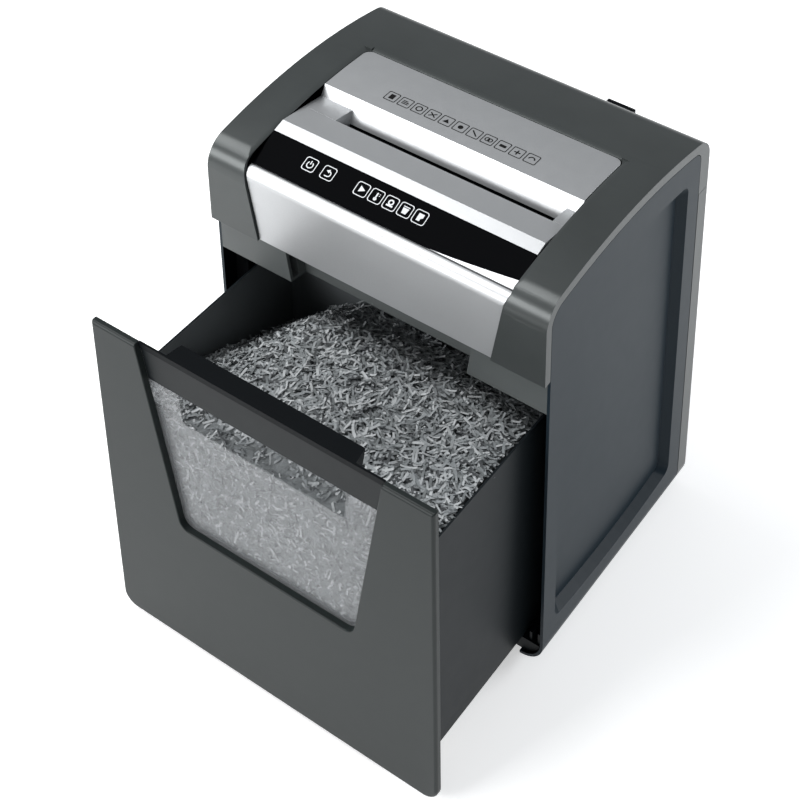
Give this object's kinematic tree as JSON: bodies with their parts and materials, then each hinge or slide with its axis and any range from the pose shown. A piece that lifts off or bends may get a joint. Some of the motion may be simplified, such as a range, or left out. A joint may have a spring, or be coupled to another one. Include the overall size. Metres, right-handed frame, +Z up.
{
  "type": "paper shredder",
  "caption": "Free-standing paper shredder with an arched top, a slotted silver deck, a touch panel and a pull-out waste drawer with a clear window.",
  "frame": {"origin": "middle of the whole object's base on the floor, with the drawer standing open 160 mm", "axes": "+X to the right seen from the front, +Y to the back, +Z up"},
  "size_m": [0.366, 0.438, 0.4665],
  "materials": {
    "shell_plastic": "satin, fine grain",
    "panel_plastic": "satin",
    "front_plastic": "satin",
    "lower_plastic": "satin",
    "dark_plastic": "matte",
    "bin_plastic": "matte",
    "black_plastic": "matte",
    "silver_plastic": "metallic lacquer on plastic, satin",
    "gloss_black": "high gloss",
    "clear_plastic": "clear, lightly veiled",
    "paper": "matte paper strips",
    "rubber": "matte",
    "steel": "brushed",
    "hard_steel": "oiled, ground",
    "plated_screws": "dark zinc",
    "bronze": "sintered",
    "gear_nylon": "moulded",
    "copper": "enamelled windings",
    "bell_alloy": "die cast",
    "board_green": "solder mask",
    "led_white": "clear resin",
    "red_plastic": "moulded"
  },
  "bodies": {
    "cabinet": {"top_cover": "shell_plastic", "rear_cover": "shell_plastic", "left_side_panel": "panel_plastic", "right_side_panel": "panel_plastic", "base_tray": "dark_plastic", "feet": "black_plastic", "foot_pads": "rubber", "foot_screws": "plated_screws", "rear_cover_screws": "plated_screws", "head_tray": "lower_plastic", "front_fascia": "silver_plastic", "front_deck": "silver_plastic", "rear_deck": "silver_plastic", "control_panel": "gloss_black", "indicator_board": "board_green", "indicator_leds": "led_white", "front_throat_guide": "black_plastic", "rear_throat_guide": "black_plastic", "left_frame_plate": "steel", "right_frame_plate": "steel", "frame_tie_bars": "steel", "cutter_bushes": "bronze", "front_stripper_comb": "dark_plastic", "rear_stripper_comb": "dark_plastic", "sync_gear_cover": "dark_plastic", "intermediate_pin": "steel", "gearbox_cover": "dark_plastic", "motor_can": "steel", "motor_end_bells": "bell_alloy", "stator_core": "copper", "circuit_board": "board_green", "board_components": "black_plastic", "heat_sink": "bell_alloy", "power_inlet": "black_plastic", "switch_bezel": "black_plastic", "sensor_bracket": "dark_plastic", "interlock_switch": "black_plastic"},
    "drawer": {"drawer_front": "front_plastic", "grip_band": "dark_plastic", "handle_block": "black_plastic", "bin_window": "clear_plastic", "waste_bin": "bin_plastic", "bin_glides": "gear_nylon", "paper_shreds": "paper"},
    "front_cutter": {"front_cutter_shaft": "steel", "front_cutter_discs": "hard_steel", "front_sync_gear": "gear_nylon"},
    "rear_cutter": {"rear_cutter_shaft": "steel", "rear_cutter_discs": "hard_steel", "rear_sync_gear": "gear_nylon", "main_drive_gear": "gear_nylon"},
    "intermediate_gear": {"intermediate_gear": "gear_nylon"},
    "rotor": {"motor_rotor": "steel", "motor_pinion": "bronze", "motor_fan": "dark_plastic"},
    "rocker": {"power_rocker": "gloss_black"},
    "sensor_lever": {"paper_sensor_lever": "gear_nylon"},
    "bin_full_flap": {"bin_full_flap": "dark_plastic"},
    "plunger": {"interlock_plunger": "red_plastic"}
  },
  "joints": [
    {"name": "drawer_slide", "type": "slide", "parent": "cabinet", "child": "drawer", "axis": [0, -1, 0], "range_m": [-0.16, 0.04]},
    {"name": "rear_cutter_spin", "type": "hinge", "parent": "cabinet", "child": "rear_cutter", "pos_m": [0, 0.059, 0.384], "axis": [1, 0, 0], "continuous": true},
    {"name": "front_cutter_spin", "type": "hinge", "parent": "cabinet", "child": "front_cutter", "pos_m": [0, 0.027, 0.384], "axis": [1, 0, 0], "continuous": true},
    {"name": "intermediate_spin", "type": "hinge", "parent": "cabinet", "child": "intermediate_gear", "pos_m": [0.13, 0.10223, 0.39686], "axis": [1, 0, 0], "continuous": true},
    {"name": "motor_spin", "type": "hinge", "parent": "cabinet", "child": "rotor", "pos_m": [0.06, 0.138, 0.392], "axis": [1, 0, 0], "continuous": true},
    {"name": "rocker_tilt", "type": "hinge", "parent": "cabinet", "child": "rocker", "pos_m": [0.087, 0.2095, 0.4265], "axis": [1, 0, 0], "range_deg": [0, 14]},
    {"name": "sensor_lever_swing", "type": "hinge", "parent": "cabinet", "child": "sensor_lever", "pos_m": [0, 0.059, 0.426], "axis": [1, 0, 0], "range_deg": [0, 25], "stiffness_Nm_per_rad": 0.002, "springref_deg": -17.19},
    {"name": "bin_full_flap_swing", "type": "hinge", "parent": "cabinet", "child": "bin_full_flap", "pos_m": [0, 0.088, 0.3265], "axis": [1, 0, 0], "range_deg": [0, 40]},
    {"name": "interlock_press", "type": "slide", "parent": "cabinet", "child": "plunger", "axis": [0, 1, 0], "range_m": [0, 0.0025], "stiffness_N_per_m": 150, "springref_m": -0.003}
  ],
  "couplings": [
    {"joint": "front_cutter_spin", "follows": "rear_cutter_spin", "ratio": -1},
    {"joint": "intermediate_spin", "follows": "rear_cutter_spin", "ratio": -3.2857},
    {"joint": "motor_spin", "follows": "rear_cutter_spin", "ratio": 16.429}
  ]
}
